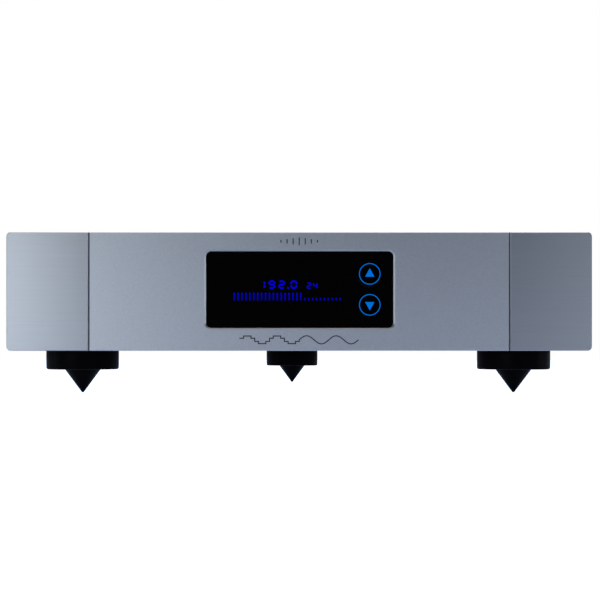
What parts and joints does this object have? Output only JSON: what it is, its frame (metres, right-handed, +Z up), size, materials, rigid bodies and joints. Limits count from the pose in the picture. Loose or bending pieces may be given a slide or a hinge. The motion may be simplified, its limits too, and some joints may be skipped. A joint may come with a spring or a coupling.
{
  "type": "desktop dac",
  "caption": "Full-width digital-to-analogue converter: silver three-piece front with a dark display window and lit keys, on black discs with cone spikes.",
  "frame": {"origin": "on the surface that the unit stands on, below the centre of its outer box", "axes": "+X to the right seen from the front, +Y towards the connectors at the back, +Z up; the front faces -Y"},
  "size_m": [0.425, 0.415, 0.1175],
  "materials": {
    "brushed_plate": "brushed along the width, clear anodised",
    "blasted_plate": "fine bead blasted, clear anodised",
    "case_paint": "fine-textured powder coat",
    "window_glass": "polished, dark tinted",
    "display_black": "polished",
    "lit_readout": "lit from within",
    "lit_icon": "lit from within",
    "circuit_board": "solder mask",
    "chip_black": "moulded",
    "zinc_screw": "zinc plated",
    "black_screw": "black zinc",
    "black_anodised": "black anodised, turned",
    "spike_black": "black, semi-gloss, turned",
    "insert_brass": "turned",
    "connector_black": "moulded",
    "rocker_black": "moulded",
    "plated_contact": "nickel plated",
    "fuse_glass": "glass tube with plated caps",
    "gold_plate": "gold plated",
    "white_insulator": "moulded",
    "nickel_plate": "nickel plated",
    "latch_metal": "pressed",
    "shutter_grey": "moulded",
    "varnished_winding": "wound and varnished",
    "rubber_pad": "matte",
    "clamp_steel": "zinc plated",
    "capacitor_sleeve": "shrink sleeve",
    "heatsink_black": "black anodised",
    "standoff_brass": "turned",
    "cable_grey": "matte",
    "lead_red": "matte",
    "ribbon_grey": "matte"
  },
  "bodies": {
    "chassis": {"centre_fascia": "blasted_plate", "left_cheek": "brushed_plate", "right_cheek": "brushed_plate", "front_subpanel": "case_paint", "display_window": "window_glass", "display_module": "display_black", "display_readout": "lit_readout", "display_board": "circuit_board", "base_tray": "case_paint", "top_cover": "case_paint", "rear_panel": "case_paint", "cover_screws": "zinc_screw", "chassis_screws": "zinc_screw", "foot_disc_front_left": "black_anodised", "foot_disc_front_right": "black_anodised", "foot_disc_rear": "black_anodised", "foot_inserts": "insert_brass", "foot_screws": "zinc_screw", "mains_inlet": "connector_black", "inlet_blades": "plated_contact", "phono_left_shell": "gold_plate", "phono_right_shell": "gold_plate", "phono_coax_shell": "gold_plate", "phono_insulators": "white_insulator", "xlr_left_shell": "nickel_plate", "xlr_right_shell": "nickel_plate", "xlr_output_inserts": "connector_black", "xlr_output_pins": "gold_plate", "xlr_input_shell": "nickel_plate", "xlr_input_insert": "connector_black", "connector_screws": "black_screw", "usb_socket": "nickel_plate", "usb_tongue": "white_insulator", "optical_socket": "connector_black", "digital_transformer": "varnished_winding", "analogue_transformer": "varnished_winding", "transformer_pads": "rubber_pad", "transformer_clamps": "clamp_steel", "power_board": "circuit_board", "power_capacitors": "capacitor_sleeve", "regulator_heatsink": "heatsink_black", "dac_board": "circuit_board", "dac_chips": "chip_black", "input_board": "circuit_board", "board_fixings": "standoff_brass", "mains_cable": "cable_grey", "supply_harness": "lead_red", "display_ribbon": "ribbon_grey"},
    "up_key": {"up_key_cap": "display_black", "up_key_icon": "lit_icon"},
    "down_key": {"down_key_cap": "display_black", "down_key_icon": "lit_icon"},
    "mains_rocker": {"power_rocker": "rocker_black"},
    "fuse_tray": {"fuse_drawer": "connector_black", "fuse": "fuse_glass"},
    "latch_tab": {"xlr_latch": "latch_metal"},
    "shutter_flap": {"optical_shutter": "shutter_grey"},
    "front_left_spike": {"spike_front_left": "spike_black"},
    "front_right_spike": {"spike_front_right": "spike_black"},
    "rear_spike": {"spike_rear": "spike_black"}
  },
  "joints": [
    {"name": "up_key_press", "type": "slide", "parent": "chassis", "child": "up_key", "axis": [0, 1, 0], "range_m": [0, 0.0006], "stiffness_N_per_m": 1500, "springref_m": -0.0005},
    {"name": "down_key_press", "type": "slide", "parent": "chassis", "child": "down_key", "axis": [0, 1, 0], "range_m": [0, 0.0006], "stiffness_N_per_m": 1500, "springref_m": -0.0005},
    {"name": "mains_rocker_tilt", "type": "hinge", "parent": "chassis", "child": "mains_rocker", "pos_m": [-0.158, 0.198, 0.0909], "axis": [0, 0, 1], "range_deg": [-20, 0]},
    {"name": "fuse_drawer_pull", "type": "slide", "parent": "chassis", "child": "fuse_tray", "axis": [0, 1, 0], "range_m": [0, 0.018]},
    {"name": "xlr_latch_press", "type": "slide", "parent": "chassis", "child": "latch_tab", "axis": [0, -1, 0], "range_m": [0, 0.002], "stiffness_N_per_m": 800, "springref_m": -0.002},
    {"name": "optical_shutter_swing", "type": "hinge", "parent": "chassis", "child": "shutter_flap", "pos_m": [-0.074, 0.1981, 0.0791], "axis": [1, 0, 0], "range_deg": [-80, 0], "stiffness_Nm_per_rad": 0.001, "springref_deg": 28.65},
    {"name": "front_left_spike_level", "type": "slide", "parent": "chassis", "child": "front_left_spike", "axis": [0, 0, -1], "range_m": [0, 0.003]},
    {"name": "front_right_spike_level", "type": "slide", "parent": "chassis", "child": "front_right_spike", "axis": [0, 0, -1], "range_m": [0, 0.003]},
    {"name": "rear_spike_level", "type": "slide", "parent": "chassis", "child": "rear_spike", "axis": [0, 0, -1], "range_m": [0, 0.003]}
  ]
}
